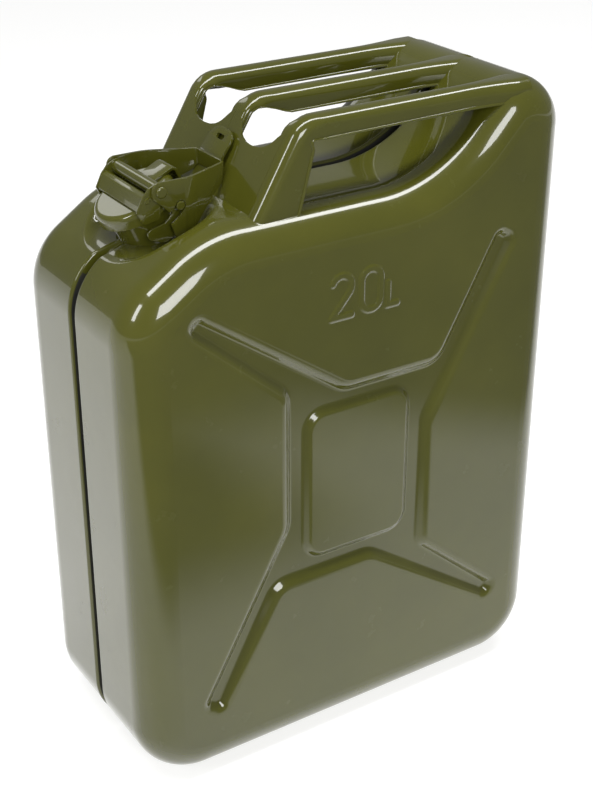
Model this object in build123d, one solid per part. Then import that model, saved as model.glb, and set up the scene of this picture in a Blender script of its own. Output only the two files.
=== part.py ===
"""A 20 litre pressed-steel jerry can: two welded shell halves, a three-bar handle,
a filler neck and a cam-lever cap. Millimetres. The origin is the middle of the base,
+X points to the rear (the hump), -X to the spout, +-Y to the broad faces, +Z up."""
from build123d import *
import math
import os

# ---- driving dimensions -------------------------------------------------------------
LENGTH = 345.0            # front wall to rear wall, X
WIDTH = 165.0             # over the raised capacity digits, Y
HEIGHT = 470.0            # base to the top of the hump and handle, Z
SHEET = 1.0               # shell sheet thickness
DIGIT_RISE = 0.8          # how far the pressed digits stand proud of a broad face
FACE = WIDTH / 2 - DIGIT_RISE            # |Y| of the flat broad faces
EDGE_ROUND = 27.0         # rounding between the broad faces and the narrow perimeter

BASE_CORNER = 47.0        # profile radii, seen from the side
REAR_CORNER = 35.0
HUMP_CORNER = 30.0
HUMP_BLEND = 100.0
SADDLE_BLEND = 90.0
FRONT_CORNER = 50.0
SADDLE_Z = 412.0          # flat top between the spout and the hump
HUMP_TOP_X = 124.0        # where the hump slope would meet the top
HUMP_ANGLE = 47.0
SHOULDER_Z = 368.3        # where the shoulder slope would meet the front wall
SHOULDER_ANGLE = 34.5

SEAM_LIP = 4.5           # half width of the recessed seam at the surface
SEAM_FLOOR = 2.5          # half width of its floor
SEAM_DEPTH = 7.0

PRESS_DEPTH = 5.0         # the X-shaped pressing on each broad face
PRESS_Z = 212.0
PRESS_SLOPE = 40.0        # its walls, degrees from the face normal
# One half of the pressing's rim, (x, z from its centre, corner radius);
# the other half is the same turned by 180 degrees.
PRESS_HALF = [(-131, 140, 6), (-124, 150, 6), (-12, 71, 22), (66, 71, 16),
              (114, 159, 6), (128, 151, 6), (59, 26, 20), (59, -77, 12)]
PANEL_W, PANEL_H, PANEL_R = 88.0, 118.0, 16.0   # raised panel inside it, at its foot
PANEL_SPREAD = 1.2        # how far its wall leans in for each millimetre of rise
DIGIT_H, DIGIT_STROKE, DIGIT_Z = 34.0, 5.0, 351.5

DISH_X, DISH_Z = -118.0, 389.0           # recess pressed round the neck: floor centre
DISH_TILT = 6.0
DISH_L, DISH_W, DISH_R = 64.0, 74.0, 30.0    # its floor, a rounded rectangle
DISH_WALL = 30.0                         # wall angle from the floor's normal

MOUTH_X, MOUTH_Z = -123.0, 415.0         # centre of the neck's mouth
NECK_TILT = 26.0                         # the neck leans forward by this
NECK_R, NECK_WALL, NECK_LEN = 21.5, 1.5, 38.0
RIM_W, RIM_H = 2.0, 3.0

CAP_R, CAP_SHEET = 27.5, 1.2
CAP_TOP, CAP_SKIRT = 5.0, -4.5           # heights above the mouth plane
GASKET_GAP = 0.3

SADDLE_UP, SADDLE_T = -19.0, 2.0         # plate round the neck, carries trunnions and hinge
EAR_Y, EAR_T = 25.6, 1.8                 # fixed ears, inner face and thickness
BRIDGE_Y, BRIDGE_T = 27.7, 1.6           # ears of the cap bridge
CHEEK_Y, CHEEK_T = 30.3, 2.0             # cheeks of the lever
TRUNNION = (-107.0, 416.5)               # axes parallel to Y, as (x, z)
TRUNNION_R = 3.0
RUN = 0.05                               # radial running clearance of a pin in its hole
PIVOT = (-120.2, 427.6)
PIVOT_R, ROLLER_R = 2.0, 4.5
HINGE_SIDE, HINGE_UP = 27.5, -12.0       # hinge axis in neck coordinates
HINGE_PIN_R, BARREL_R = 2.0, 4.0

BAR_W, BAR_SHEET = 17.0, 1.5             # inverted-channel handle bars
BAR_Y = 60.5                             # centre of the outer bars
BAR_UNDER = 454.5                        # underside of the bars
BAR_REAR = 137.0
LEG_FOOT_X, LEG_TOP_X = -81.0, -39.5     # front line of the legs, at LEG_LOW and HEIGHT
FLANGE_TOP_X, FLANGE_FOOT_X = -28.0, -43.5   # rear line of the legs' side flanges
INNER_FLANGE = 6.0        # depth of a leg's flange where it faces a finger slot
LEG_LOW = 400.0
WEB_TOP = 446.0                          # lowest point of the slots' rounded ends

BREATHER_R, BREATHER_BORE = 4.0, 3.0


# ---- helpers ------------------------------------------------------------------------
def inset(corners, distance):
    """Moves a closed outline of (u, v, radius) corners inwards, keeping it parallel.
    The corners run clockwise. Convex radii shrink and concave radii grow."""
    moved = []
    count = len(corners)
    for i, (u, v, radius) in enumerate(corners):
        before, after = corners[i - 1], corners[(i + 1) % count]
        a = Vector(u - before[0], v - before[1]).normalized()
        b = Vector(after[0] - u, after[1] - v).normalized()
        turn = a.X * b.Y - a.Y * b.X                  # negative at a convex corner
        inward_a, inward_b = Vector(a.Y, -a.X), Vector(b.Y, -b.X)
        step = (inward_a + inward_b) * (distance / (1 + inward_a.dot(inward_b)))
        new_radius = radius - distance if turn < 0 else radius + distance
        moved.append((u + step.X, v + step.Y, new_radius))
    return moved


def outline_face(corners, plane):
    """A face from (u, v, radius) corners on a plane."""
    points = [(u, v) for u, v, radius in corners]
    radii = [radius for u, v, radius in corners]
    return plane * make_face(FilletPolyline(*points, radius=radii, close=True))


def side_plane(y):
    """The X-Z plane at this Y. Its normal is -Y."""
    return Plane((0, y, 0), x_dir=(1, 0, 0), z_dir=(0, -1, 0))


def plate_xz(corners, y_from, y_to):
    """A flat plate: an X-Z outline, extruded between two Y values."""
    low, high = min(y_from, y_to), max(y_from, y_to)
    return extrude(outline_face(corners, side_plane(high)), amount=high - low)


def rod_y(centre, radius, y_from, y_to):
    """A round bar along Y through (x, z)."""
    low, high = min(y_from, y_to), max(y_from, y_to)
    return extrude(side_plane(high) * Pos(*centre) * Circle(radius), amount=high - low)


REACH = 60.0              # half width of a tool that cuts right through the closure


NECK = Plane((MOUTH_X, 0, MOUTH_Z),
             x_dir=(math.cos(math.radians(NECK_TILT)), 0, math.sin(math.radians(NECK_TILT))),
             z_dir=(-math.sin(math.radians(NECK_TILT)), 0, math.cos(math.radians(NECK_TILT))))


def on_neck(side, up):
    """World (x, z) of a point on the centre plane, given in neck coordinates."""
    point = NECK.from_local_coords((side, 0, up))
    return point.X, point.Z


def neck_disc(radius, up_from, up_to, side=0.0, y=0.0):
    """A disc round the neck's axis, or round a parallel axis at (side, y)."""
    low, high = min(up_from, up_to), max(up_from, up_to)
    return extrude(NECK * Pos(side, y, low) * Circle(radius), amount=high - low)


def neck_plate(corners, y_from, y_to):
    """A plate normal to Y whose corners are (side, up, radius) in neck coordinates."""
    world = [(*on_neck(side, up), radius) for side, up, radius in corners]
    return plate_xz(world, y_from, y_to)


HINGE = on_neck(HINGE_SIDE, HINGE_UP)
RISE = math.tan(math.radians(SHOULDER_ANGLE))


# ---- the can's shell ----------------------------------------------------------------
def can_corners():
    """The side profile, clockwise from the front base corner."""
    half = LENGTH / 2
    hump_run = (HEIGHT - SADDLE_Z) / math.tan(math.radians(HUMP_ANGLE))
    shoulder_run = (SADDLE_Z - SHOULDER_Z) / RISE
    return [(-half, 0, BASE_CORNER),
            (-half, SHOULDER_Z, FRONT_CORNER),
            (shoulder_run - half, SADDLE_Z, SADDLE_BLEND),
            (HUMP_TOP_X - hump_run, SADDLE_Z, HUMP_BLEND),
            (HUMP_TOP_X, HEIGHT, HUMP_CORNER),
            (half, HEIGHT, REAR_CORNER),
            (half, 0, BASE_CORNER)]


def press_corners():
    """The rim of the X-shaped pressing, clockwise."""
    turned = [(-x, -dz, radius) for x, dz, radius in PRESS_HALF]
    return [(x, PRESS_Z + dz, radius) for x, dz, radius in PRESS_HALF + turned]


def panel_corners():
    """The foot of the raised panel inside the pressing, clockwise."""
    w, h = PANEL_W / 2, PANEL_H / 2
    return [(-w, PRESS_Z - h, PANEL_R), (-w, PRESS_Z + h, PANEL_R),
            (w, PRESS_Z + h, PANEL_R), (w, PRESS_Z - h, PANEL_R)]


def press_tool(deeper):
    """What the pressing takes out of the near face, moved in by the given amount."""
    spread = math.tan(math.radians(PRESS_SLOPE))
    outside, floor = -FACE - 1 + deeper, -FACE + PRESS_DEPTH + deeper
    rim, panel = press_corners(), panel_corners()
    channel = loft([outline_face(inset(rim, -spread), side_plane(outside)),
                    outline_face(inset(rim, PRESS_DEPTH * spread), side_plane(floor))], ruled=True)
    rise = PRESS_DEPTH + 2
    raised = loft([outline_face(panel, side_plane(floor)),
                   outline_face(inset(panel, rise * PANEL_SPREAD), side_plane(floor - rise))], ruled=True)
    return channel - raised


def dish_tool(deeper):
    """The recess pressed round the neck, as a solid that widens upwards."""
    depth = 60.0
    spread = 2 * depth * math.tan(math.radians(DISH_WALL))
    tilt = math.radians(DISH_TILT)
    axis = Plane((DISH_X, 0, DISH_Z - deeper), x_dir=(math.cos(tilt), 0, math.sin(tilt)),
                 z_dir=(-math.sin(tilt), 0, math.cos(tilt)))
    floor = axis * RectangleRounded(DISH_L, DISH_W, DISH_R)
    top = axis * Pos(0, 0, depth) * RectangleRounded(DISH_L + spread, DISH_W + spread, DISH_R + spread / 2)
    return loft([floor, top], ruled=True)


def near_half(skin):
    """The near half of the can as a full solid, its surface moved in by skin."""
    corners = can_corners()
    lip, floor = SEAM_LIP + 0.5 * skin, SEAM_FLOOR + 0.5 * skin
    side = outline_face(inset(corners, skin), side_plane(-lip))
    body = extrude(side, amount=FACE - skin - lip)
    broad = body.faces().sort_by(Axis.Y)[0]
    body = fillet(broad.edges(), EDGE_ROUND - skin)
    seam_wall = loft([outline_face(inset(corners, skin), side_plane(-lip)),
                      outline_face(inset(corners, skin + SEAM_DEPTH), side_plane(-floor))],
                     ruled=True)
    middle = extrude(outline_face(inset(corners, skin + SEAM_DEPTH), side_plane(0)), amount=floor)
    whole = body + seam_wall + middle
    return whole - press_tool(skin) - dish_tool(skin)


def digit_strokes():
    """The raised capacity figure "20L" as centre lines, on the near face."""
    h = DIGIT_H - DIGIT_STROKE
    r = h * 0.27
    two = [CenterArc((0, h - r), r, -35, 190), Line((r * 0.82, h - r - r * 0.57), (-r, 0)),
           Line((-r, 0), (r, 0))]
    nought = [Line((-r, r), (-r, h - r)), Line((r, r), (r, h - r)),
              CenterArc((0, h - r), r, 0, 180), CenterArc((0, r), r, 180, 180)]
    letter = [Line((0, 0), (0, h * 0.55)), Line((0, 0), (r, 0))]
    return [(-17.5, two), (6.0, nought), (19.5, letter)]


def digit_solids():
    """The three raised figures as solids, slightly sunk into the near face."""
    solids = []
    foot = DIGIT_Z - DIGIT_H / 2 + DIGIT_STROKE / 2
    for x, strokes in digit_strokes():
        shape = Sketch()
        for stroke in strokes:
            shape += trace(stroke, line_width=DIGIT_STROKE)
        placed = side_plane(-FACE + 0.4) * Pos(x, foot) * shape
        solids.append(extrude(placed, amount=DIGIT_RISE + 0.4))
    return solids


def neck_cylinder(radius):
    """A long cylinder on the neck's axis, for the hole in the shell."""
    return neck_disc(radius, -NECK_LEN - 20, 10)


def body_shells():
    """The near and far shell halves, and the outer solids that handle parts stand on."""
    outer = near_half(0)
    shell = outer - near_half(SHEET) - neck_cylinder(NECK_R)
    near = shell
    for figure in digit_solids():
        near = near + figure
    far = mirror(shell, about=Plane.XZ)
    for figure in digit_solids():
        far = far + figure.rotate(Axis.Z, 180)
    return near, far, [outer, mirror(outer, about=Plane.XZ)]


# ---- the handle ---------------------------------------------------------------------
def leg_front(z, behind=0.0):
    """X of the front line of the legs at a height, moved back square to it."""
    run, rise = LEG_TOP_X - LEG_FOOT_X, HEIGHT - LEG_LOW
    return LEG_FOOT_X + run * (z - LEG_LOW) / rise + behind * math.hypot(run, rise) / rise


def bar_outline(skin):
    """Side view of one bar with its leg, clockwise, its outer line moved in by skin."""
    low = LEG_LOW - (20 if skin else 0)
    rear = BAR_REAR + (20 if skin else 0)
    under = BAR_UNDER - (20 if skin else 0)
    inner = 30 if skin else 0
    return [(leg_front(low, skin), low, 0), (leg_front(HEIGHT - skin, skin), HEIGHT - skin, 20 - skin),
            (rear, HEIGHT - skin, 0), (rear, under, 0),
            (FLANGE_TOP_X + inner, under, 0 if skin else 4), (FLANGE_FOOT_X + inner, low, 0)]


def slot_relief():
    """Side view of what is cut from a leg's flange where it faces a finger slot."""
    low, high = LEG_LOW - 5, HEIGHT - 7
    return [(leg_front(low, INNER_FLANGE), low, 0), (leg_front(high, INNER_FLANGE), high, 3),
            (FLANGE_TOP_X + 6, BAR_UNDER, 0), (FLANGE_TOP_X + 6, low, 0)]


def handle_bar(y, ground):
    """An inverted channel bent down into a leg, trimmed where it stands on the can."""
    low, high = y - BAR_W / 2, y + BAR_W / 2
    bar = plate_xz(bar_outline(0), low, high)
    top = [e for e in bar.edges() if abs(abs(e.center().Y - y) - BAR_W / 2) < 0.01
           and (e.center().Z > HEIGHT - 0.1 or e.center().X < leg_front(e.center().Z) + 3)]
    bar = fillet(top, 5)
    bar -= plate_xz(bar_outline(BAR_SHEET), low + BAR_SHEET, high - BAR_SHEET)
    for side in (-1, 1):
        if y * side <= 0:                    # this side faces a finger slot
            bar -= plate_xz(slot_relief(), y + side * (BAR_W / 2 - BAR_SHEET), y + side * BAR_W)
    for half in ground:
        bar -= half
    return max(bar.solids(), key=lambda s: s.volume)


def handle_web(side, ground):
    """The sheet between two legs, with the rounded bottom of a finger slot at its top."""
    near_mid, far_out = BAR_W / 2, BAR_Y - BAR_W / 2
    gap = far_out - near_mid
    centre = (near_mid + far_out) / 2
    y_from, y_to = sorted((side * near_mid, side * far_out))
    corners = [(leg_front(LEG_LOW), LEG_LOW, 0), (leg_front(HEIGHT - 12), HEIGHT - 12, 0),
               (leg_front(HEIGHT - 12, BAR_SHEET), HEIGHT - 12, 0),
               (leg_front(LEG_LOW, BAR_SHEET), LEG_LOW, 0)]
    web = plate_xz(corners, y_from, y_to)
    slot_r = gap / 2
    slot = Pos(-50, side * centre, WEB_TOP + slot_r) * Rot(0, 90, 0) * Cylinder(slot_r, 80)
    web -= slot
    for half in ground:
        web -= half
    return max(web.solids(), key=lambda s: s.volume)


# ---- the neck -----------------------------------------------------------------------
def neck_tube():
    return neck_disc(NECK_R, -NECK_LEN, 0) - neck_disc(NECK_R - NECK_WALL, -NECK_LEN - 1, 1)


def neck_rim():
    ring = neck_disc(NECK_R + RIM_W, -RIM_H, 0) - neck_disc(NECK_R, -RIM_H - 1, 1)
    outer = ring.edges().filter_by(GeomType.CIRCLE).filter_by(
        lambda e: abs(e.radius - NECK_R - RIM_W) < 0.01)
    return fillet(outer, 1.2)


def closure_bracket():
    """Plate welded round the neck, with two trunnion ears and two hinge lugs."""
    low, top = SADDLE_UP, SADDLE_UP + SADDLE_T
    side, up = trunnion_on_neck()
    head = TRUNNION_R + 1.5
    outer = EAR_Y + EAR_T
    lug_outer = LUG_Y + EAR_T
    back = HINGE_SIDE + BARREL_R
    bracket = neck_plate([(-7, low, 0), (-7, top, 0), (24, top, 0), (24, low, 0)], -outer, outer)
    bracket += neck_plate([(22, low, 0), (22, top, 0), (back, top, 0), (back, low, 0)], -lug_outer, lug_outer)
    round_head = head - 0.1
    ear = [(-12.5, -15.5, 4), (-11.5, -9.0, 4), (2, -12, 4), (side - head, -9, 3),
           (side - head, up + head, round_head), (side + head, up + head, round_head),
           (side + head, -15, 4), (7, -24, 5), (-4, -24, 5)]
    lug = [(22, low, 0), (22, low + 5, 1.5), (back - 2 * BARREL_R, HINGE_UP + BARREL_R, BARREL_R - 0.1),
           (back, HINGE_UP + BARREL_R, BARREL_R - 0.1), (back, low, 0)]
    for sign in (-1, 1):
        bracket += neck_plate(ear, sign * EAR_Y, sign * outer)
        bracket += neck_plate(lug, sign * LUG_Y, sign * lug_outer)
    bracket -= neck_disc(NECK_R, -NECK_LEN, 0)
    bracket -= rod_y(HINGE, BARREL_R + 0.6, -LUG_Y, LUG_Y)
    bracket -= rod_y(HINGE, HINGE_PIN_R, -REACH, REACH)
    return bracket - rod_y(TRUNNION, TRUNNION_R, -REACH, REACH)


def trunnion_on_neck():
    local = NECK.to_local_coords(Vector(TRUNNION[0], 0, TRUNNION[1]))
    return local.X, local.Z


def pivot_on_neck():
    local = NECK.to_local_coords(Vector(PIVOT[0], 0, PIVOT[1]))
    return local.X, local.Z


LUG_Y = 10.0


def trunnion(sign):
    """A fixed stud on each ear that the lever's hooks grip."""
    stud = rod_y(TRUNNION, TRUNNION_R, sign * EAR_Y, sign * (CHEEK_Y + CHEEK_T + 0.7))
    tip = stud.faces().sort_by(Axis.Y)[0 if sign < 0 else -1]
    return chamfer(tip.edges(), 0.6)


def hinge_pin():
    """The pin that the cap turns on, with a head at each end."""
    reach = LUG_Y + EAR_T
    pin = rod_y(HINGE, HINGE_PIN_R, -reach, reach)
    for sign in (-1, 1):
        pin += rod_y(HINGE, HINGE_PIN_R + 1.2, sign * reach, sign * (reach + 1.4))
    return pin


def breather_tube():
    """Lets air from the hump back into the neck while the can pours."""
    side = NECK_R - NECK_WALL - BREATHER_R - 0.1
    start, bend = on_neck(side, -9), on_neck(side, -NECK_LEN - 8)
    path = FilletPolyline((start[0], 0, start[1]), (bend[0], 0, bend[1]), (60, 0, bend[1]), (128, 0, 452),
                          radius=[14, 40])
    section = Plane(path @ 0, z_dir=path % 0)
    ring = section * (Circle(BREATHER_R) - Circle(BREATHER_BORE))
    return sweep(ring, path=path)


# ---- the cap ------------------------------------------------------------------------
RIVET_R, RIVET_HEAD_R = 2.5, 5.0
HEM = (-1.9, 9.3)                                  # rolled edge of the bridge, (side, up)
HEM_ROD_R = 2.0
PLATE_T = 2.0
FOOT_FRONT, FOOT_END = -10.5, 3.4                  # the bridge's foot, clear of the roller
RETAINER_T = 1.5
RETAINER_R, GASKET_R = 18.6, 23.4


def cap_cover():
    """The pressed cap, with the hole for the rivet that holds the gasket retainer."""
    cover = neck_disc(CAP_R, CAP_SKIRT, CAP_TOP)
    rims = cover.edges().filter_by(GeomType.CIRCLE).sort_by(Axis.Z)
    cover = fillet(rims[-1], 4.0)
    hollow = neck_disc(CAP_R - CAP_SHEET, CAP_SKIRT - 1, CAP_TOP - CAP_SHEET)
    hollow = fillet(hollow.edges().filter_by(GeomType.CIRCLE).sort_by(Axis.Z)[-1], 2.8)
    return cover - hollow - neck_disc(RIVET_R, -2, 12)


def cap_gasket():
    top = CAP_TOP - CAP_SHEET
    return neck_disc(GASKET_R, GASKET_GAP, top) - neck_disc(RETAINER_R, GASKET_GAP - 1, top + 1)


def gasket_retainer():
    top = CAP_TOP - CAP_SHEET
    return neck_disc(RETAINER_R, top - RETAINER_T, top) - neck_disc(RIVET_R, -2, 12)


def retainer_rivet():
    """Clamps the gasket retainer to the cap; its top is flush under the bridge."""
    under = CAP_TOP - CAP_SHEET - RETAINER_T
    return neck_disc(RIVET_R, under, CAP_TOP) + neck_disc(RIVET_HEAD_R, under - 1.0, under)


def cap_bridge():
    """Strap across the cap: a sloping top over a stiffening rod, and two ears for the lever."""
    side, up = pivot_on_neck()
    edge = FOOT_FRONT
    outer = BRIDGE_Y + BRIDGE_T
    strap = neck_plate([(edge, CAP_TOP, 0), (edge, 6.6, 0.5), (-3.6, 12.7, 3), (1.6, 12.7, 3),
                        (1.6, CAP_TOP + PLATE_T, 0.5), (FOOT_END, CAP_TOP + PLATE_T, 0),
                        (FOOT_END, CAP_TOP, 0)], -outer, outer)
    ear = [(edge - 1, -3, 3), (edge - 1, 6.6, 1), (-3.6, 12.7, 3), (side - 5.3, up + 5.3, 4),
           (side + 5.3, up + 5.3, 5.2), (side + 5.3, up - 5.3, 3), (3, 0, 3), (0.5, -6.5, 3)]
    for sign in (-1, 1):
        strap += neck_plate(ear, sign * BRIDGE_Y, sign * outer)
    strap -= rod_y(on_neck(*HEM), HEM_ROD_R, -REACH, REACH)
    return strap - rod_y(PIVOT, PIVOT_R, -REACH, REACH)


def hem_rod():
    """Stiffening rod under the bridge's sloping top, chamfered at its ends."""
    reach = BRIDGE_Y + BRIDGE_T + 0.6
    rod = rod_y(on_neck(*HEM), HEM_ROD_R, -reach, reach)
    return chamfer(rod.edges().filter_by(GeomType.CIRCLE), 0.5)


def hinge_strap():
    """Strap welded to the cap that goes over its rear edge down to the hinge pin."""
    half = LUG_Y - 0.5
    back = HINGE_SIDE + BARREL_R
    strap = neck_plate([(12, CAP_TOP, 0), (12, CAP_TOP + PLATE_T, 0), (back, CAP_TOP + PLATE_T, 4),
                        (back, HINGE_UP, 0), (back - PLATE_T, HINGE_UP, 0), (back - PLATE_T, CAP_TOP, 2)],
                       -half, half)
    strap += rod_y(HINGE, BARREL_R, -half, half)
    return strap - rod_y(HINGE, HINGE_PIN_R + RUN, -half - 1, half + 1)


# ---- the lever ----------------------------------------------------------------------
LEVER_RATIO = -2.0         # lever turn per cap turn
# Side view of the cheeks, (x, z, radius), and the frame's plan, whose sides draw in
# towards the rear: where they start to draw in, and the rear wall's X and half width.
CHEEK = [(-126.4, 433.9, 6), (-66.0, 433.9, 1), (-66.0, 427.5, 1), (-70.0, 420.0, 3), (-79.0, 415.0, 8),
         (-102.0, 394.5, 4), (-110.5, 395.5, 3), (-113.5, 404.0, 1.5), (-113.5, 412.0, 1),
         (-121.5, 420.0, 4), (-126.4, 423.5, 5)]
FRAME_FRONT_X, FRAME_BEND_X, FRAME_REAR_X, FRAME_REAR_Y = -130.0, -99.0, -67.0, 17.0
# The thumb tab rises from the rear wall: side view of its middle surface.
TAB = [(-67.0, 428.0), (-65.5, 435.0), (-54.4, 449.3)]
TAB_HALF, TAB_T, TAB_TIP_R = 13.5, 1.8, 9.0
TAB_HOLE_AT, TAB_HOLE_L, TAB_HOLE_W = 0.65, 9.0, 3.6   # share of the way up the tab, size


def trunnion_seen_from_lever(cap_angle):
    """Where the fixed trunnion lies in the lever's own frame when the cap has turned."""
    def turned(point, about, degrees):
        c, s = math.cos(math.radians(degrees)), math.sin(math.radians(degrees))
        dx, dz = point[0] - about[0], point[1] - about[1]
        return about[0] + dx * c + dz * s, about[1] - dx * s + dz * c
    pivot = turned(PIVOT, HINGE, cap_angle)
    lever_angle = cap_angle * (1 + LEVER_RATIO)
    shifted = (TRUNNION[0] - pivot[0] + PIVOT[0], TRUNNION[1] - pivot[1] + PIVOT[1])
    return turned(shifted, PIVOT, -lever_angle)


def hook_slot():
    """The open slot that each hook needs to let go of its trunnion."""
    width = TRUNNION_R + 0.6
    places = [trunnion_seen_from_lever(3.0 * step) for step in range(8)]
    slot = rod_y(places[0], width, -REACH, REACH)
    for (ax, az), (bx, bz) in zip(places, places[1:]):
        length = math.hypot(bx - ax, bz - az)
        nx, nz = (bz - az) / length * width, (ax - bx) / length * width
        quad = [(ax + nx, az + nz, 0), (bx + nx, bz + nz, 0), (bx - nx, bz - nz, 0), (ax - nx, az - nz, 0)]
        slot += plate_xz(quad, -REACH, REACH) + rod_y((bx, bz), width, -REACH, REACH)
    return slot


def lever_frame():
    """Two hooked cheeks that draw together towards a rear wall with a thumb tab."""
    front, mid = FRAME_FRONT_X, CHEEK_Y + CHEEK_T / 2
    plan = FilletPolyline((front, -mid), (FRAME_BEND_X, -mid), (FRAME_REAR_X, -FRAME_REAR_Y),
                          (FRAME_REAR_X, FRAME_REAR_Y), (FRAME_BEND_X, mid), (front, mid),
                          radius=[30, 4, 4, 30])
    lowest, highest = min(z for x, z, r in CHEEK), max(z for x, z, r in CHEEK)
    wall = extrude(Pos(0, 0, lowest) * trace(plan, line_width=CHEEK_T), amount=highest - lowest)
    frame = wall & plate_xz(CHEEK, -REACH, REACH)
    frame -= hook_slot()
    side_view = trace(FilletPolyline(*TAB, radius=8), line_width=TAB_T)
    tab = extrude(side_plane(TAB_HALF) * side_view, amount=2 * TAB_HALF)
    tip_corners = tab.edges().filter_by(lambda e: e.length < 2 * TAB_T and e.center().Z > TAB[2][1] - 2)
    frame += fillet(tip_corners, TAB_TIP_R)
    run, rise = TAB[2][0] - TAB[1][0], TAB[2][1] - TAB[1][1]
    middle = (TAB[1][0] + TAB_HOLE_AT * run, 0, TAB[1][1] + TAB_HOLE_AT * rise)
    hole = Plane(middle, x_dir=(0, 1, 0), z_dir=(-rise, 0, run)) * SlotOverall(TAB_HOLE_L, TAB_HOLE_W)
    frame -= extrude(hole, amount=2 * TAB_T, both=True)
    return frame - rod_y(PIVOT, PIVOT_R + RUN, -REACH, REACH)


def lever_roller():
    half = BRIDGE_Y - 0.2
    return rod_y(PIVOT, ROLLER_R, -half, half) - rod_y(PIVOT, PIVOT_R + RUN, -half - 1, half + 1)


def pivot_pin():
    """The pin that the lever turns on, with a domed head at each end."""
    reach = CHEEK_Y + CHEEK_T + 0.1
    pin = rod_y(PIVOT, PIVOT_R, -reach, reach)
    for sign in (-1, 1):
        head = rod_y(PIVOT, PIVOT_R + 1.8, sign * reach, sign * (reach + 1.6))
        face = head.faces().sort_by(Axis.Y)[0 if sign < 0 else -1]
        pin += fillet(face.edges(), 1.3)
    return pin


def pivot_washer(sign):
    low, high = sign * (BRIDGE_Y + BRIDGE_T + 0.1), sign * (CHEEK_Y - 0.1)
    return rod_y(PIVOT, 4.6, low, high) - rod_y(PIVOT, PIVOT_R, low - 2, high + 2)


# ---- assembly -----------------------------------------------------------------------
def build():
    near, far, ground = body_shells()
    return {
        "body_shell_near": [near],
        "body_shell_far": [far],
        "handle_bar_near": [handle_bar(-BAR_Y, ground)],
        "handle_bar_middle": [handle_bar(0.0, ground)],
        "handle_bar_far": [handle_bar(BAR_Y, ground)],
        "handle_web_near": [handle_web(-1, ground)],
        "handle_web_far": [handle_web(1, ground)],
        "neck_tube": [neck_tube()],
        "neck_rim": [neck_rim()],
        "breather_tube": [breather_tube()],
        "closure_bracket": [closure_bracket()],
        "trunnion_studs": [trunnion(-1), trunnion(1)],
        "cap_hinge_pin": [hinge_pin()],
        "cap_cover": [cap_cover()],
        "cap_gasket": [cap_gasket()],
        "gasket_retainer": [gasket_retainer()],
        "retainer_rivet": [retainer_rivet()],
        "cap_bridge": [cap_bridge()],
        "bridge_hem_rod": [hem_rod()],
        "cap_hinge_strap": [hinge_strap()],
        "lever_frame": [lever_frame()],
        "lever_roller": [lever_roller()],
        "lever_pivot_pin": [pivot_pin()],
        "pivot_washers": [pivot_washer(-1), pivot_washer(1)],
    }


os.makedirs("parts", exist_ok=True)
for name, solids in build().items():
    pieces = [piece for shape in solids for piece in shape.solids()]
    export_step(Compound(children=pieces) if len(pieces) > 1 else pieces[0], f"parts/{name}.step")
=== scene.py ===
"""A glossy olive 20 litre jerry can: how it looks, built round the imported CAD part. Metres."""
import math

import bmesh
import bpy
import numpy as np
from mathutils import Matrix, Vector
from mathutils.geometry import delaunay_2d_cdt


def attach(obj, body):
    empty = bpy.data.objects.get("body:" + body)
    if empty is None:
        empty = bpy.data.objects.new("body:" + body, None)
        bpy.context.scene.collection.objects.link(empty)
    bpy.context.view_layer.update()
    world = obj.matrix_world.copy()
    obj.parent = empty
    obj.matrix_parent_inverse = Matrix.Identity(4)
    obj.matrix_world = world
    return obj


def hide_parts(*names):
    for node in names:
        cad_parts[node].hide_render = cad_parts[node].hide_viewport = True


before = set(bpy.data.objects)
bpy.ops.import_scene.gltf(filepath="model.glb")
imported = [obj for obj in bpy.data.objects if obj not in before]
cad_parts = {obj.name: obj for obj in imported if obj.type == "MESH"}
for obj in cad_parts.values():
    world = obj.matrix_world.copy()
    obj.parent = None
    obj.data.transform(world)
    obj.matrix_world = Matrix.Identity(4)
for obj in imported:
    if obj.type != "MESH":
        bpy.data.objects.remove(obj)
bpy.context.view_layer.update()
MM = 0.001

# ---- dimensions shared with the CAD part, in millimetres ----------------------------
HALF_LENGTH, HEIGHT = 172.5, 470.0
FACE, EDGE_ROUND = 81.7, 27.0
SADDLE_Z, SHOULDER_Z = 412.0, 368.3
SHOULDER_RUN = (SADDLE_Z - SHOULDER_Z) / math.tan(math.radians(34.5))
HUMP_TOP_X = 124.0
HUMP_RUN = (HEIGHT - SADDLE_Z) / math.tan(math.radians(47.0))
CAN = [(-HALF_LENGTH, 0, 47), (-HALF_LENGTH, SHOULDER_Z, 50), (SHOULDER_RUN - HALF_LENGTH, SADDLE_Z, 90),
       (HUMP_TOP_X - HUMP_RUN, SADDLE_Z, 100), (HUMP_TOP_X, HEIGHT, 30), (HALF_LENGTH, HEIGHT, 35),
       (HALF_LENGTH, 0, 47)]
PRESS_Z = 212.0
PRESS_HALF = [(-131, 140, 6), (-124, 150, 6), (-12, 71, 22), (66, 71, 16),
              (114, 159, 6), (128, 151, 6), (59, 26, 20), (59, -77, 12)]
PRESS = [(x, PRESS_Z + z, r) for x, z, r in PRESS_HALF + [(-x, -z, r) for x, z, r in PRESS_HALF]]
PANEL = [(-44, PRESS_Z - 59, 16), (-44, PRESS_Z + 59, 16), (44, PRESS_Z + 59, 16), (44, PRESS_Z - 59, 16)]
DISH_X, DISH_Z, DISH_TILT = -118.0, 389.0, math.radians(6)
DISH_L, DISH_W, DISH_R, DISH_WALL = 64.0, 74.0, 30.0, math.radians(30)
MOUTH = Vector((-123.0, 0, 415.0))
NECK_TILT = math.radians(26)
NECK_AXIS = Vector((-math.sin(NECK_TILT), 0, math.cos(NECK_TILT)))
NECK_HOLE_R, NECK_HOLE_REACH = 20.8, 60.0
PRESS_DEPTH, PANEL_DEPTH = 5.0, 1.2
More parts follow.
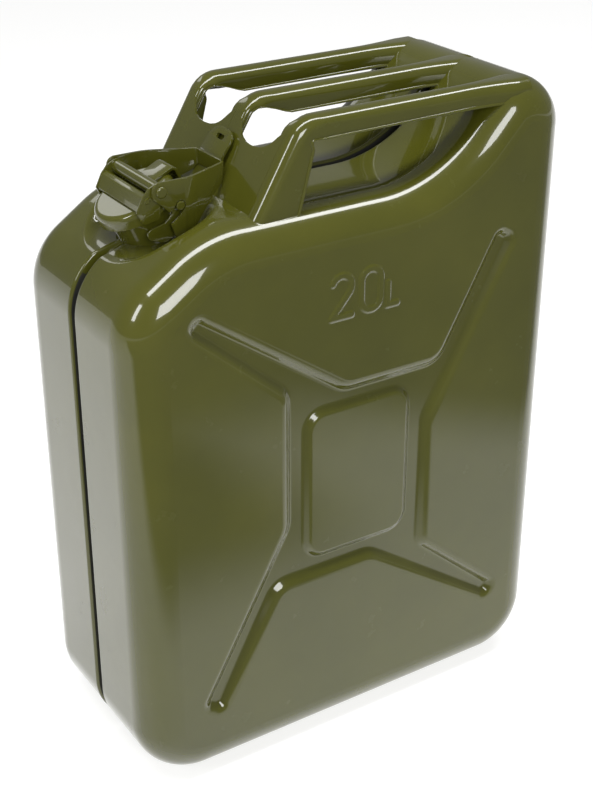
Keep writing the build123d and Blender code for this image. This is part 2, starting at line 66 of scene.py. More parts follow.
FIGURES_Z, FIGURE_HEIGHT, FIGURE_RISE = 351.5, 29.0, 0.8
SEAM_HALF, SEAM_DEPTH = 3.6, 7.0


# ---- outlines ------------------------------------------------------------------------
def inset(corners, distance):
    """A closed clockwise outline of (u, v, radius) corners, moved inwards."""
    moved = []
    for i, (u, v, radius) in enumerate(corners):
        before, after = corners[i - 1], corners[(i + 1) % len(corners)]
        a = Vector((u - before[0], v - before[1])).normalized()
        b = Vector((after[0] - u, after[1] - v)).normalized()
        turn = a.x * b.y - a.y * b.x
        step = (Vector((a.y, -a.x)) + Vector((b.y, -b.x))) * (distance / (1 + a.dot(b)))
        moved.append((u + step.x, v + step.y, max(0.3, radius - distance if turn < 0 else radius + distance)))
    return moved


def sample(corners, closed=True, gap=6.0, arc=math.radians(5), fine=None):
    """Points along a filleted outline with their left-hand normals, as two arrays."""
    points, normals = [], []
    count = len(corners)
    ends = []
    for i, (u, v, radius) in enumerate(corners):
        here = Vector((u, v))
        if not closed and i in (0, count - 1):
            ends.append((here, here, None, 0, 0))
            continue
        a = (here - Vector(corners[i - 1][:2])).normalized()
        b = (Vector(corners[(i + 1) % count][:2]) - here).normalized()
        turn = math.atan2(a.x * b.y - a.y * b.x, a.dot(b))
        reach = radius * math.tan(abs(turn) / 2)
        side = Vector((-a.y, a.x)) * math.copysign(1, turn)
        ends.append((here - a * reach, here + b * reach, here - a * reach + side * radius, turn, radius))
    for i, (start, end, centre, turn, radius) in enumerate(ends):
        if centre is not None:
            steps = max(2, int(abs(turn) / arc) + 1)
            if fine is not None and fine(start, end):
                steps = max(steps, int(abs(turn) * radius / 1.6))
            for k in range(steps + 1):
                arm = start - centre
                angle = turn * k / steps
                c, s = math.cos(angle), math.sin(angle)
                arm = Vector((arm.x * c - arm.y * s, arm.x * s + arm.y * c))
                points.append(centre + arm)
                normals.append(arm.normalized() * -math.copysign(1, turn))
        else:
            other = ends[1][0] if i == 0 else ends[-2][1]
            along = (other - start if i == 0 else start - other).normalized()
            points.append(start)
            normals.append(Vector((-along.y, along.x)))
        if closed or i < len(ends) - 1:
            to = ends[(i + 1) % len(ends)][0]
            length = (to - end).length
            pitch = 1.6 if fine is not None and fine(end, to) else gap
            pieces = int(length / pitch) + 1
            along = (to - end).normalized() if length > 1e-6 else Vector((1, 0))
            for k in range(1, pieces):
                points.append(end.lerp(to, k / pieces))
                normals.append(Vector((-along.y, along.x)))
    return np.array(points), np.array(normals)


def inside(points, outline):
    """Which of the points lie inside a closed polygon."""
    x, y = points[:, 0], points[:, 1]
    result = np.zeros(len(points), bool)
    for (x0, y0), (x1, y1) in zip(outline, np.roll(outline, -1, axis=0)):
        crosses = (y0 > y) != (y1 > y)
        with np.errstate(divide="ignore", invalid="ignore"):
            result ^= crosses & (x < (x1 - x0) * (y - y0) / (y1 - y0) + x0)
    return result


def distance_to(points, path):
    """Distance from each point to an open polyline."""
    best = np.full(len(points), 1e9)
    for a, b in zip(path[:-1], path[1:]):
        ab = b - a
        t = np.clip(((points - a) @ ab) / max(ab @ ab, 1e-9), 0, 1)
        best = np.minimum(best, np.hypot(*(points - a - t[:, None] * ab).T))
    return best


# ---- meshes --------------------------------------------------------------------------
def make_object(name, points, faces, normals=None, material=None):
    """A mesh object from millimetre points. Its place is in its mesh."""
    mesh = bpy.data.meshes.new(name)
    mesh.from_pydata([tuple(p) for p in np.asarray(points, float) * MM], [], faces)
    mesh.validate(clean_customdata=False)
    mesh.polygons.foreach_set("use_smooth", [True] * len(mesh.polygons))
    if normals is not None:
        mesh.normals_split_custom_set_from_vertices([tuple(n) for n in normals])
    mesh.update()
    thing = bpy.data.objects.new(name, mesh)
    bpy.context.scene.collection.objects.link(thing)
    if material is not None:
        mesh.materials.append(material)
    return thing


def grid_faces(rows, columns, closed=True, start=0):
    """Quads joining a rows x columns block of points, the columns closing into a ring."""
    faces = []
    for i in range(rows - 1):
        for j in range(columns if closed else columns - 1):
            k = (j + 1) % columns
            faces.append((start + i * columns + j, start + i * columns + k,
                          start + (i + 1) * columns + k, start + (i + 1) * columns + j))
    return faces


def grid_normals(block, closed):
    """Unit normals of a rows x columns x 3 block from its own differences."""
    down = np.gradient(block, axis=0)
    if closed:
        across = (np.roll(block, -1, axis=1) - np.roll(block, 1, axis=1)) / 2
    else:
        across = np.gradient(block, axis=1)
    normals = np.cross(down, across)
    return normals / np.maximum(np.linalg.norm(normals, axis=2, keepdims=True), 1e-9)


# ---- the can -------------------------------------------------------------------------
def soft_min(a, b, reach):
    """The smaller of two values, with the change from one to the other rounded over reach."""
    mix = np.maximum(reach - np.abs(a - b), 0) / reach
    return np.minimum(a, b) - mix * mix * reach / 4


def soft_max(a, b, reach):
    """The larger of two values, rounded in the same way."""
    return -soft_min(-a, -b, reach)


def press_dish(points, normals):
    """Pushes surface points down into the recess round the neck."""
    along = np.array([math.cos(DISH_TILT), 0, math.sin(DISH_TILT)])
    axis = np.array([-math.sin(DISH_TILT), 0, math.cos(DISH_TILT)])
    local = points - np.array([DISH_X, 0, DISH_Z])
    u, w = local @ along, local @ axis
    dx = np.maximum(np.abs(u) - (DISH_L / 2 - DISH_R), 0)
    dy = np.maximum(np.abs(points[..., 1]) - (DISH_W / 2 - DISH_R), 0)
    out = np.hypot(dx, dy) - DISH_R
    wall = soft_max(out / math.tan(DISH_WALL), np.zeros_like(out), 7.0)
    pressed = soft_min(w, wall, 9.0)
    top = (normals @ axis > 0.12) & (points[..., 2] > 340)
    drop = np.where(top & (out < 30), w - pressed, 0)
    return points - drop[..., None] * axis


def near_band():
    """The narrow perimeter from the seam to the edge of the near broad face."""
    section = [(SEAM_DEPTH, 0.0, 0), (SEAM_DEPTH, -2.7, 1.2), (0.0, -3.9, 2.2), (0.0, -FACE, EDGE_ROUND),
               (EDGE_ROUND + 0.01, -FACE, 0)]
    flat, _ = sample(section, closed=False, gap=2.0, arc=math.radians(7))

    def by_the_neck(a, b):
        return min(a.x, b.x) < -60 and max(a.y, b.y) > 345 and min(a.y, b.y) > 300

    ring, outward = sample(CAN, gap=5.0, arc=math.radians(3), fine=by_the_neck)
    block = np.zeros((len(flat), len(ring), 3))
    for row, (depth, y) in enumerate(flat):
        place = ring - outward * depth
        block[row, :, 0], block[row, :, 1], block[row, :, 2] = place[:, 0], y, place[:, 1]
    normals = -grid_normals(block, True)
    facing = np.concatenate([outward[:, :1], np.zeros((len(ring), 1)), outward[:, 1:]], axis=1)
    if (normals[0] * facing).sum() < 0:
        normals = -normals
    pressed = press_dish(block, normals)
    after = grid_normals(pressed, True)
    after *= np.sign((after * normals).sum(axis=2, keepdims=True))
    after[0] -= after[0] * np.array([0, 1, 0])
    after[0] /= np.linalg.norm(after[0], axis=1, keepdims=True)
    after[-1] = (0, -1, 0)
    return pressed, after


def digit_paths():
    """Centre lines of the raised figures 2, 0 and L on the near face."""
    h, foot = FIGURE_HEIGHT, FIGURES_Z - FIGURE_HEIGHT / 2
    r = h * 0.27

    def arc(cx, cy, a0, a1):
        turns = [math.radians(t) for t in np.linspace(a0, a1, 15)]
        return [(cx + r * math.cos(t), cy + r * math.sin(t)) for t in turns]

    two = arc(0, h - r, 155, -35) + [(-r, 0), (r, 0)]
    nought = arc(0, h - r, 0, 180) + arc(0, r, 180, 360) + [(r, h - r)]
    letter = [(0, h * 0.55), (0, 0), (r, 0)]
    return [np.array(path) + (x, foot) for x, path in ((-17.5, two), (6.0, nought), (19.5, letter))]


def relief(points):
    """Height of the raised figures above the near face, at (x, z) points."""
    away = np.min([distance_to(points, path) for path in digit_paths()], axis=0)
    step = np.clip((3.3 - away) / 2.0, 0, 1)
    return FIGURE_RISE * step * step * (3 - 2 * step)


def near_face(edge, reading):
    """The near broad face inside its boundary loop: points, normals and triangles.
    The figures read left to right along X times the reading sign."""
    rings = []  # points, normals, height and slope of each contour line
    spread = math.tan(math.radians(40))
    for corners, section in (
            (PRESS, [(-8, 0, 0), (-2, 0, 9), (PRESS_DEPTH * spread, -PRESS_DEPTH, 4.5),
                     (PRESS_DEPTH * spread + 4, -PRESS_DEPTH, 0)]),
            (PANEL, [(-4, -PRESS_DEPTH, 0), (-0.5, -PRESS_DEPTH, 4), (4.0, -PANEL_DEPTH, 4),
                     (8, -PANEL_DEPTH, 0)])):
        line, up = sample(section, closed=False, gap=50, arc=math.radians(9))
        for (distance, height), (tilt, rise) in zip(line, up):
            place, outward = sample(inset(corners, distance), gap=5.0, arc=math.radians(8))
            rings.append((place, -tilt * outward, height, rise))
    points = [edge]
    normals = [np.tile((0.0, -1.0, 0.0), (len(edge), 1))]
    heights = [np.zeros(len(edge))]
    edges = [(k, (k + 1) % len(edge)) for k in range(len(edge))]
    count = len(edge)
    for place, lean, height, rise in rings:
        points.append(place)
        normals.append(np.column_stack([lean[:, 0], np.full(len(place), -abs(rise)), lean[:, 1]]))
        heights.append(np.full(len(place), height))
        edges += [(count + k, count + (k + 1) % len(place)) for k in range(len(place))]
        count += len(place)
    x, z = np.meshgrid(np.arange(-160, 160, 7.0), np.arange(10, 462, 7.0))
    coarse = np.column_stack([x.ravel() + (np.arange(x.size) // x.shape[1] % 2) * 3.5, z.ravel()])
    x, z = np.meshgrid(np.arange(-35.1, 36, 0.9), np.arange(330, 373, 0.9))
    dense = np.column_stack([x.ravel(), z.ravel()])
    coarse = coarse[~((np.abs(coarse[:, 0]) < 38.5) & (np.abs(coarse[:, 1] - FIGURES_Z) < 24))]
    press_rings = [ring[0] for ring in rings]
    split = next(k for k, ring in enumerate(rings) if k and len(ring[0]) < len(rings[0][0]) / 2)
    outer_press, inner_press = press_rings[0], press_rings[split - 1]
    outer_panel, inner_panel = press_rings[split], press_rings[-1]
    grid = np.concatenate([coarse, dense])
    within = inside(grid, outer_press)
    floor = inside(grid, inner_press)
    in_panel = inside(grid, inner_panel)
    keep = (inside(grid, edge) & ~within) | (floor & ~inside(grid, outer_panel)) | in_panel
    near_edge = distance_to(grid, np.concatenate([edge, edge[:1]])) < 2.5
    grid, floor, in_panel = grid[keep & ~near_edge], floor[keep & ~near_edge], in_panel[keep & ~near_edge]
    ground = np.where(in_panel, -PANEL_DEPTH, np.where(floor, -PRESS_DEPTH, 0.0))
    step = 0.05

    def read(places):
        return relief(places * (reading, 1))

    fx = (read(grid + (step, 0)) - read(grid - (step, 0))) / (2 * step)
    fz = (read(grid + (0, step)) - read(grid - (0, step))) / (2 * step)
    points.append(grid)
    heights.append(ground + read(grid))
    normals.append(np.column_stack([-fx, -np.ones(len(grid)), -fz]))
    flat, height, normal = np.concatenate(points), np.concatenate(heights), np.concatenate(normals)
    normal /= np.linalg.norm(normal, axis=1, keepdims=True)
    found, _, faces, origins, _, _ = delaunay_2d_cdt([Vector(p) for p in flat], edges, [], 1, 1e-5)
    source = [o[0] if o else None for o in origins]
    nearest = [s if s is not None else int(np.argmin(np.hypot(*(flat - np.array(found[i])).T)))
               for i, s in enumerate(source)]
    solid = np.array([(found[i][0], -FACE - height[n], found[i][1]) for i, n in enumerate(nearest)])
    normal = normal[nearest]
    centres = np.array([(solid[list(f)][:, 0].mean(), solid[list(f)][:, 2].mean()) for f in faces])
    keep = inside(centres, edge)
    return solid, normal, [tuple(f) for f, good in zip(faces, keep) if good]


def cut_neck_hole(points, faces):
    """Opens the shell inside the neck and rounds the hole's edge."""
    local = points - np.array(MOUTH)
    axis = np.array(NECK_AXIS)
    up = local @ axis
    radial = local - up[:, None] * axis
    r = np.linalg.norm(radial, axis=1)
    under = (up < 0) & (up > -NECK_HOLE_REACH) & (points[:, 2] > 340)
    snap = (np.abs(r - NECK_HOLE_R) < 0.9) & under
    points = points.copy()
    points[snap] += radial[snap] * ((NECK_HOLE_R / r[snap]) - 1)[:, None]
    reach = np.where((up < 0) & (up > -NECK_HOLE_REACH) & (points[:, 2] > 340), np.minimum(r, 99), 99)
    reach[snap] = NECK_HOLE_R
    kept = [f for f in faces if np.mean(reach[list(f)]) > NECK_HOLE_R - 0.2]
    return points, kept


def shell_half(name, side, material):
    """One pressed half of the can, side -1 near and 1 far, with painted shade (a near-black material) on the
    faces of the seam's groove.
    """
    band, band_normals = near_band()
    rows, columns = band.shape[:2]
    edge = band[-1][:, [0, 2]]
    face, face_normals, triangles = near_face(edge, -side)
    points = np.concatenate([band[:-1].reshape(-1, 3), face])
    normals = np.concatenate([band_normals[:-1].reshape(-1, 3), face_normals])
    start = (rows - 1) * columns
    # The triangulation reorders the boundary's points, so they are matched to the loop again.
    match = [start + int(np.argmin(np.hypot(face[:, 0] - x, face[:, 2] - z))) for x, z in edge]
    faces = grid_faces(rows - 1, columns)
    last = (rows - 2) * columns
    for j in range(columns):
        k = (j + 1) % columns
        faces.append((last + j, last + k, match[k], match[j]))
    faces += [tuple(start + v for v in f) for f in triangles]
    points, faces = cut_neck_hole(points, faces)
    ready = []
    for f in faces:
        f = tuple(dict.fromkeys(f))
        if len(f) < 3:
            continue
        a, b, c = points[f[0]], points[f[1]], points[f[2]]
        flat = np.cross(b - a, c - a)
        if flat @ normals[list(f)].sum(axis=0) < 0:
            f = f[::-1]
        ready.append(f)
    if side > 0:
        points = points * (1, -1, 1)
        normals = normals * (1, -1, 1)
        ready = [f[::-1] for f in ready]
    thing = make_object(name, points, ready, normals, material)
    # The seam groove's faces get a near-black second material. It is painted shade that stands in for the
    # shadow inside the narrow groove.
    thing.data.materials.append(SEAM_PAINTED_SHADE)
    middles = np.array([polygon.center for polygon in thing.data.polygons]) / MM
    lowered = inside(middles[:, [0, 2]], sample(inset(CAN, 1.6), gap=8.0)[0])
    low = lowered & (np.abs(middles[:, 1]) < SEAM_HALF)
    near_neck = (np.abs(middles[:, 0] + 115) < 45) & (middles[:, 2] > 370)
    thing.data.polygons.foreach_set("material_index", (low & ~near_neck).astype(int))
    return thing


# ---- materials -----------------------------------------------------------------------
def node(tree, kind, **values):
    """A new shader node with its sockets or settings filled in."""
    made = tree.nodes.new(kind)
    for key, value in values.items():
        if key in made.inputs:
            made.inputs[key].default_value = value
        else:
            setattr(made, key, value)
    return made


def ramp(tree, source, stops):
    """A colour ramp over a factor, from (place, colour) stops."""
    made = tree.nodes.new("ShaderNodeValToRGB")
    elements = made.color_ramp.elements
    while len(elements) < len(stops):
        elements.new(0.5)
    for element, (place, colour) in zip(elements, stops):
        element.position = place
        element.color = (*colour, 1) if len(colour) == 3 else colour
    tree.links.new(source, made.inputs["Fac"])
    return made.outputs["Color"]


def paint_material(name):
    """Glossy olive enamel: slight colour drift, smudges and orange peel."""
    material = bpy.data.materials.new(name)
    material.use_nodes = True
    tree = material.node_tree
    shader = tree.nodes["Principled BSDF"]
    place = tree.nodes.new("ShaderNodeTexCoord").outputs["Object"]
    drift = node(tree, "ShaderNodeTexNoise", Scale=9.0, Detail=4.0, Roughness=0.55)
    tree.links.new(place, drift.inputs["Vector"])
    base = [(0.050, 0.0515, 0.0048), (0.057, 0.0585, 0.0058), (0.066, 0.0665, 0.0072)]
    colour = ramp(tree, drift.outputs["Fac"], [(0.3, base[0]), (0.5, base[1]), (0.72, base[2])])
    tree.links.new(colour, shader.inputs["Base Color"])
    smudge = node(tree, "ShaderNodeTexNoise", Scale=38.0, Detail=6.0, Roughness=0.6)
    tree.links.new(place, smudge.inputs["Vector"])
    rough = ramp(tree, smudge.outputs["Fac"], [(0.35, (0.20,) * 3), (0.6, (0.25,) * 3), (0.8, (0.34,) * 3)])
    tree.links.new(rough, shader.inputs["Roughness"])
    shader.inputs["Metallic"].default_value = 0.0
    shader.inputs["IOR"].default_value = 1.5
    shader.inputs["Specular IOR Level"].default_value = 0.12
    shader.inputs["Coat Weight"].default_value = 1.0
    shader.inputs["Coat Roughness"].default_value = 0.05
    peel = node(tree, "ShaderNodeTexNoise", Scale=420.0, Detail=2.0)
    wave = node(tree, "ShaderNodeTexNoise", Scale=26.0, Detail=2.0)
    for texture in (peel, wave):
        tree.links.new(place, texture.inputs["Vector"])
    fine = node(tree, "ShaderNodeBump", Strength=0.03, Distance=0.0002)
    broad = node(tree, "ShaderNodeBump", Strength=0.22, Distance=0.0015)
    tree.links.new(wave.outputs["Fac"], broad.inputs["Height"])
    tree.links.new(peel.outputs["Fac"], fine.inputs["Height"])
    tree.links.new(broad.outputs["Normal"], fine.inputs["Normal"])
    tree.links.new(fine.outputs["Normal"], shader.inputs["Normal"])
    return material


def plain_material(name, colours, roughness, metallic=0.0, scale=30.0, bump=0.1):
    """A material between two colours and two roughnesses, with a fine grain."""
    material = bpy.data.materials.new(name)
    material.use_nodes = True
    tree = material.node_tree
    shader = tree.nodes["Principled BSDF"]
    place = tree.nodes.new("ShaderNodeTexCoord").outputs["Object"]
    noise = node(tree, "ShaderNodeTexNoise", Scale=scale, Detail=5.0)
    tree.links.new(place, noise.inputs["Vector"])
    colour = ramp(tree, noise.outputs["Fac"], [(0.35, colours[0]), (0.65, colours[1])])
    tree.links.new(colour, shader.inputs["Base Color"])
    rough = ramp(tree, noise.outputs["Fac"], [(0.3, (roughness[0],) * 3), (0.7, (roughness[1],) * 3)])
    tree.links.new(rough, shader.inputs["Roughness"])
    shader.inputs["Metallic"].default_value = metallic
    grain = node(tree, "ShaderNodeTexNoise", Scale=scale * 18, Detail=3.0)
    tree.links.new(place, grain.inputs["Vector"])
    lift = node(tree, "ShaderNodeBump", Strength=bump, Distance=0.0003)
    tree.links.new(grain.outputs["Fac"], lift.inputs["Height"])
    tree.links.new(lift.outputs["Normal"], shader.inputs["Normal"])
    return material


OLIVE = paint_material("olive_enamel")
# Near-black painted shade for the seam groove. It stands in for the shadow inside the deep, narrow seam.
SEAM_PAINTED_SHADE = plain_material("seam_painted_shade", [(0.004, 0.004, 0.002), (0.010, 0.010, 0.004)],
                           (0.6, 0.8), 0.0, 60, 0.3)
RUBBER = plain_material("gasket_rubber", [(0.010, 0.010, 0.010), (0.022, 0.021, 0.020)],
                        (0.5, 0.75), 0.0, 60, 0.3)
ZINC = plain_material("zinc_plate", [(0.50, 0.49, 0.44), (0.62, 0.61, 0.57)], (0.25, 0.42), 1.0, 45, 0.1)

# ---- pieces --------------------------------------------------------------------------
for side, name in ((-1, "body_shell_near"), (1, "body_shell_far")):
    half = shell_half("look_" + name, side, OLIVE)
    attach(half, "can")
    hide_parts(name)

LEG_TOP, LEG_FOOT = (-39.5, 470.0), (-81.0, 400.0)
LEAN = math.atan2(LEG_TOP[1] - LEG_FOOT[1], LEG_TOP[0] - LEG_FOOT[0])
BAR_HALF, BAR_SHEET, BAR_UNDER = 8.5, 1.5, 454.5


def leg_x(z):
    """X of the legs' front line at a height."""
    return LEG_FOOT[0] + (LEG_TOP[0] - LEG_FOOT[0]) * (z - LEG_FOOT[1]) / (LEG_TOP[1] - LEG_FOOT[1])


def surface_z(x, y):
    """Height of the can's top under the handle, at x and |y|."""
    if x < 40:
        z = SADDLE_Z
    else:
        z = SADDLE_Z + max(0.0, x - 57.0) * math.tan(math.radians(47))
    lean = max(0.0, abs(y) - (FACE - EDGE_ROUND))
    return z - (EDGE_ROUND - math.sqrt(max(EDGE_ROUND ** 2 - lean ** 2, 0)))


def bar_side(half, length):
    """Outer and inner skin of one side of a bar's section, from the edge roll to the back."""
    r = min(8.3, length - 2.6)
    turn = np.linspace(0, math.pi / 2, 9)

    def draw(d):
        return 0.9 * ((d - r) / max(length - r, 1)) ** 2

    roll = [(-half + 0.95 - 1.25 * math.cos(a), length - 1.2 + 1.25 * math.sin(a))
            for a in np.linspace(math.pi * 0.95, -math.pi * 0.3, 9)]
    wall = [(-half + draw(d), d) for d in np.linspace(length - 2.4, r, 7)[:-1]]
    arc = [(-half + r - r * math.cos(a), r - r * math.sin(a)) for a in turn]
    inner_r = max(r - BAR_SHEET, 0.5)
    inner_arc = [(-half + r - inner_r * math.cos(a), r - inner_r * math.sin(a)) for a in turn[::-1]]
    inner_wall = [(-half + BAR_SHEET + draw(d), d) for d in np.linspace(r, length - 1.6, 6)[1:-1]]
    return roll + wall + arc, inner_arc + inner_wall


def turned_over(line):
    """The same line on the other side of the section, run backwards."""
    return [(-y, d) for y, d in line[::-1]]


def bar_shape(centre):
    """One handle bar: a channel with a round back, rolled edges and a foot, as points and faces."""
    foot_z = 402.0 if abs(centre) > 30 else 408.0
    outer, _ = sample([(leg_x(foot_z), foot_z, 0), (*LEG_TOP, 22), (141, 470, 0)], closed=False,
                      gap=6.0, arc=math.radians(4))
    inner, _ = sample([(-42.5, foot_z, 0), (-28.6, BAR_UNDER, 5), (141, BAR_UNDER, 0)], closed=False,
                      gap=6.0, arc=math.radians(8))

    def along(path, shares):
        steps = np.concatenate([[0], np.cumsum(np.hypot(*np.diff(path, axis=0).T))])
        return np.column_stack([np.interp(shares, steps, path[:, 0]), np.interp(shares, steps, path[:, 1])])

    # The outer and inner lines get the same number of stations, paired by share of length.
    leg_out = math.hypot(LEG_TOP[0] - leg_x(foot_z), 470 - foot_z) - 9
    total_out = np.hypot(*np.diff(outer, axis=0).T).sum()
    leg_in = math.hypot(14, BAR_UNDER - foot_z)
    total_in = np.hypot(*np.diff(inner, axis=0).T).sum()
    shares = np.concatenate([np.linspace(0, 1, 34), 1 + np.linspace(0, 1, 46)[1:]])
    out_line = along(outer, np.interp(shares, [0, 1, 2], [0, leg_out, total_out]))
    in_line = along(inner, np.interp(shares, [0, 1, 2], [0, leg_in, total_in]))
    rows = []
    for (ox, oz), (ix, iz) in zip(out_line, in_line):
        flare = max(0.0, min(1.0, (ox - 84) / 44)) ** 2 * 4.5
        depth = np.array([ix - ox, iz - oz])
        deep = np.linalg.norm(depth)
        down = depth / deep
        crease = max(0.0, 1 - (math.hypot(ix + 28.6, iz - BAR_UNDER) / 5.5) ** 2) * 3.0
        grown = max(0.0, min(1.0, (ox + 45) / 20))
        shallow = min(deep, 6.0 + (deep - 6.0) * grown * grown * (3 - 2 * grown))
        skins = []
        for way in (-1, 1):
            outside = centre * way > 30
            skins.append(bar_side(BAR_HALF + flare, deep - crease if outside else shallow))
        (left_out, left_in), (right_out, right_in) = skins
        loop = left_out + turned_over(right_out) + turned_over(right_in) + left_in
        rows.append([(ox + down[0] * d, centre + y, oz + down[1] * d) for y, d in loop])
    block = np.array(rows)
    count = block.shape[1]
    faces = grid_faces(len(rows), count)
    faces.append(tuple(range(count))[::-1])
    faces.append(tuple(range((len(rows) - 1) * count, len(rows) * count)))
    return block.reshape(-1, 3), faces


def auto_object(name, points, faces, material, angle=35):
    """A mesh whose edges sharper than the angle stay sharp."""
    thing = make_object(name, points, faces, None, material)
    mesh = thing.data
    work = bmesh.new()
    work.from_mesh(mesh)
    bmesh.ops.recalc_face_normals(work, faces=work.faces)
    for edge in work.edges:
        edge.smooth = len(edge.link_faces) == 2 and edge.calc_face_angle(0) < math.radians(angle)
    work.to_mesh(mesh)
    work.free()
    return thing


for name, centre in (("handle_bar_near", -60.5), ("handle_bar_middle", 0.0), ("handle_bar_far", 60.5)):
    points, faces = bar_shape(centre)
    bar = auto_object("look_" + name, points, faces, OLIVE)
    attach(bar, "can")
    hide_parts(name)


def web_shape(side):
    """The front sheet between two legs, lapping onto them, with a rounded slot bottom."""
    mid, far = 2.0, 58.5
    gap_from, gap_to = BAR_HALF - 1.0, 60.5 - BAR_HALF + 1.0
    centre = (gap_from + gap_to) / 2
    offsets = [0, 8, 14, 18, 21, 23, 26, 30]
    heights = [446, 446.6, 448.4, 451.0, 454.2, 456.8, 459.0, 459.8]
    fine = np.arange(0, 31, 0.25)
    curve = np.interp(fine, offsets, heights)
    padded = np.pad(curve, 6, mode="reflect")
    curve = np.convolve(padded, np.ones(13) / 13, mode="valid")
    ys = np.linspace(mid, far, 121)
    rows = []
    for y in ys:
        high = np.interp(abs(y - centre), fine, curve)
        low = surface_z(-78, y) - 5.0
        rows.append([(y, z) for z in np.linspace(low, high, 10)])
    rows = np.array(rows)
    front = np.stack([leg_x(rows[..., 1]) - 0.12, side * rows[..., 0], rows[..., 1]], axis=-1)
    back = front + (BAR_SHEET * math.sin(LEAN), 0, -BAR_SHEET * math.cos(LEAN))
    count = rows.shape[1]
    points = np.concatenate([front.reshape(-1, 3), back.reshape(-1, 3)])
    n = len(rows) * count
    faces = grid_faces(len(rows), count, closed=False)
    faces += [tuple(n + v for v in f) for f in faces[:]]
    for i in range(len(rows) - 1):
        for j in (0, count - 1):
            a, b = i * count + j, (i + 1) * count + j
            faces.append((a, b, n + b, n + a))
    for i in (0, len(rows) - 1):
        for j in range(count - 1):
            a, b = i * count + j, i * count + j + 1
            faces.append((a, b, n + b, n + a))
    return points, faces


for name, side in (("handle_web_near", -1), ("handle_web_far", 1)):
    points, faces = web_shape(side)
    web = auto_object("look_" + name, points, faces, OLIVE)
    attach(web, "can")
    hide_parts(name)


def softened(name, width, body):
    """A copy of a CAD piece with its sharp edges rounded."""
    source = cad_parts[name]
    mesh = source.data.copy()
    mesh.name = "look_" + name
    work = bmesh.new()
    work.from_mesh(mesh)
    bmesh.ops.remove_doubles(work, verts=work.verts, dist=2e-5)
    bmesh.ops.dissolve_limit(work, angle_limit=math.radians(0.5), verts=work.verts, edges=work.edges)
    work.to_mesh(mesh)
    work.free()
    mesh.materials.clear()
    mesh.materials.append(OLIVE)
    mesh.polygons.foreach_set("use_smooth", [True] * len(mesh.polygons))
    thing = bpy.data.objects.new("look_" + name, mesh)
    bpy.context.scene.collection.objects.link(thing)
    bevel = thing.modifiers.new("soft_edges", "BEVEL")
    bevel.width, bevel.segments, bevel.limit_method = width * MM, 3, "ANGLE"
    bevel.angle_limit = math.radians(40)
    bevel.harden_normals = True
    bevel.use_clamp_overlap = True
    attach(thing, body)
    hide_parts(name)


for name, width, body in (("lever_frame", 0.5, "lever"), ("cap_bridge", 0.45, "cap"),
                          ("closure_bracket", 0.45, "can"), ("cap_hinge_strap", 0.45, "cap")):
    softened(name, width, body)

LOOKS = {"olive_paint": OLIVE, "black_rubber": RUBBER, "zinc_steel": ZINC}
for name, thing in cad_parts.items():
    if thing.type == "MESH":
        for holder in thing.material_slots:
            base = holder.material.name.split(".")[0] if holder.material else ""
            if base in LOOKS:
                holder.material = LOOKS[base]


# ---- stage ---------------------------------------------------------------------------
FLOOR_COLOUR = (0.42, 0.42, 0.418, 1)


def stage_plane(name, size, centre):
    """A pale rectangle facing up, of half-lengths size, that glows evenly."""
    x, y = size
    points = [(-x, -y, 0), (x, -y, 0), (x, y, 0), (-x, y, 0)]
    mesh = bpy.data.meshes.new(name)
    mesh.from_pydata([(p[0] + centre[0], p[1] + centre[1], centre[2]) for p in points], [], [(0, 1, 2, 3)])
    thing = bpy.data.objects.new(name, mesh)
    bpy.context.scene.collection.objects.link(thing)
    material = bpy.data.materials.new(name)
    material.use_nodes = True
    shader = material.node_tree.nodes["Principled BSDF"]
    shader.inputs["Base Color"].default_value = FLOOR_COLOUR
    shader.inputs["Roughness"].default_value = 0.6
    shader.inputs["Emission Color"].default_value = (0.93, 0.93, 0.925, 1)
    shader.inputs["Emission Strength"].default_value = 0.80
    mesh.materials.append(material)
    return thing


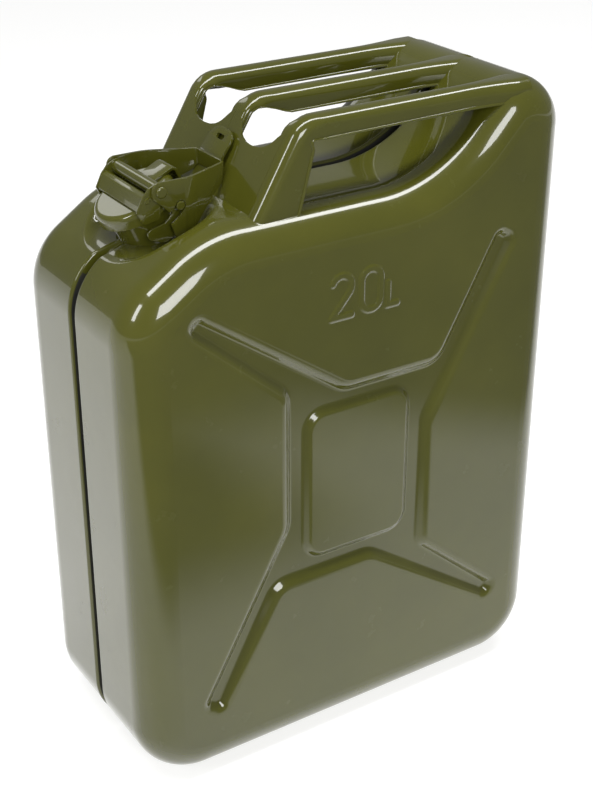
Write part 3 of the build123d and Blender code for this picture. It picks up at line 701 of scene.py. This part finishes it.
def grey_flag():
    """A soft-edged grey studio flag on the floor in front of the near face. Only reflections see it."""
    card = stage_plane("reflection_flag", (5, 4), (0.5, -4.1, 0.001))
    card.visible_camera = card.visible_diffuse = card.visible_shadow = False
    card.visible_transmission = card.visible_volume_scatter = False
    tree = card.data.materials[0].node_tree
    spot = tree.nodes.new("ShaderNodeNewGeometry").outputs["Position"]
    split = tree.nodes.new("ShaderNodeSeparateXYZ")
    tree.links.new(spot, split.inputs["Vector"])
    slant = node(tree, "ShaderNodeVectorMath", operation="DOT_PRODUCT")
    tree.links.new(spot, slant.inputs[0])
    slant.inputs[1].default_value = (0.669, -0.743, 0)

    def fade(source, start, end, low, high):
        made = tree.nodes.new("ShaderNodeMapRange")
        made.interpolation_type = "SMOOTHSTEP"
        for key, value in (("From Min", start), ("From Max", end), ("To Min", low), ("To Max", high)):
            made.inputs[key].default_value = value
        tree.links.new(source, made.inputs["Value"])
        return made.outputs["Result"]

    def combine(kind, first, second):
        made = node(tree, "ShaderNodeMath", operation=kind)
        tree.links.new(first, made.inputs[0])
        tree.links.new(second, made.inputs[1])
        return made.outputs["Value"]

    x, y = split.outputs["X"], split.outputs["Y"]
    left = combine("MULTIPLY", fade(x, 0.06, 0.22, 1.0, 0.0), fade(y, -0.36, -0.22, 1.0, 0.0))
    slanting = fade(slant.outputs["Value"], 0.47, 0.62, 0.0, 1.0)
    right = combine("MULTIPLY", slanting, fade(y, -0.30, -0.12, 1.0, 0.0))
    dark = combine("MAXIMUM", fade(y, -0.62, -0.38, 1.0, 0.0), combine("MAXIMUM", left, right))
    grey = tree.nodes.new("ShaderNodeEmission")
    grey.inputs["Color"].default_value = (1, 1, 1, 1)
    grey.inputs["Strength"].default_value = 0.30
    clear = tree.nodes.new("ShaderNodeBsdfTransparent")
    mix = tree.nodes.new("ShaderNodeMixShader")
    tree.links.new(dark, mix.inputs[0])
    tree.links.new(clear.outputs[0], mix.inputs[1])
    tree.links.new(grey.outputs[0], mix.inputs[2])
    tree.links.new(mix.outputs[0], tree.nodes["Material Output"].inputs["Surface"])
    return card


bpy.context.scene.view_settings.view_transform = "Standard"
stage_plane("floor", (14, 14), (0, 0, -0.0005))
grey_flag()


def softbox(name, place, aim, size, power):
    """A rectangular area light at a place, aimed at a point."""
    light = bpy.data.lights.new(name, "AREA")
    light.shape = "RECTANGLE"
    light.size, light.size_y = size
    light.energy = power
    thing = bpy.data.objects.new(name, light)
    thing.location = place
    thing.rotation_euler = (Vector(aim) - Vector(place)).to_track_quat("-Z", "Y").to_euler()
    bpy.context.scene.collection.objects.link(thing)


softbox("overhead_strip", (0.1, -0.22, 2.2), (0.1, -0.1, 0.35), (2.9, 0.38), 50)
softbox("leg_strip", (-2.3, -0.37, 1.69), (-0.05, -0.06, 0.43), (0.42, 1.0), 17)
softbox("cap_box", (-0.17, 2.04, 1.70), (-0.12, 0, 0.42), (0.6, 0.4), 1.6)
softbox("fill", (-0.8, -2.9, 1.8), (0, 0, 0.2), (1.2, 1.2), 54)

world = bpy.data.worlds.new("studio")
bpy.context.scene.world = world
world.use_nodes = True
backdrop = world.node_tree.nodes["Background"]
backdrop.inputs["Color"].default_value = (1.0, 1.0, 1.0, 1)
backdrop.inputs["Strength"].default_value = 0.25

camera = bpy.data.cameras.new("photo_angle")
camera.lens = 67.3
camera.sensor_width = 36.0
camera.sensor_fit = "AUTO"
eye = bpy.data.objects.new("photo_angle", camera)
bpy.context.scene.collection.objects.link(eye)
yaw, pitch = 0.9996, 0.47687
look = Vector((math.cos(pitch) * math.cos(yaw), math.cos(pitch) * math.sin(yaw), -math.sin(pitch)))
eye.location = (-0.5199, -0.8089, 0.7358)
eye.rotation_euler = look.to_track_quat("-Z", "Y").to_euler()
bpy.context.scene.camera = eye
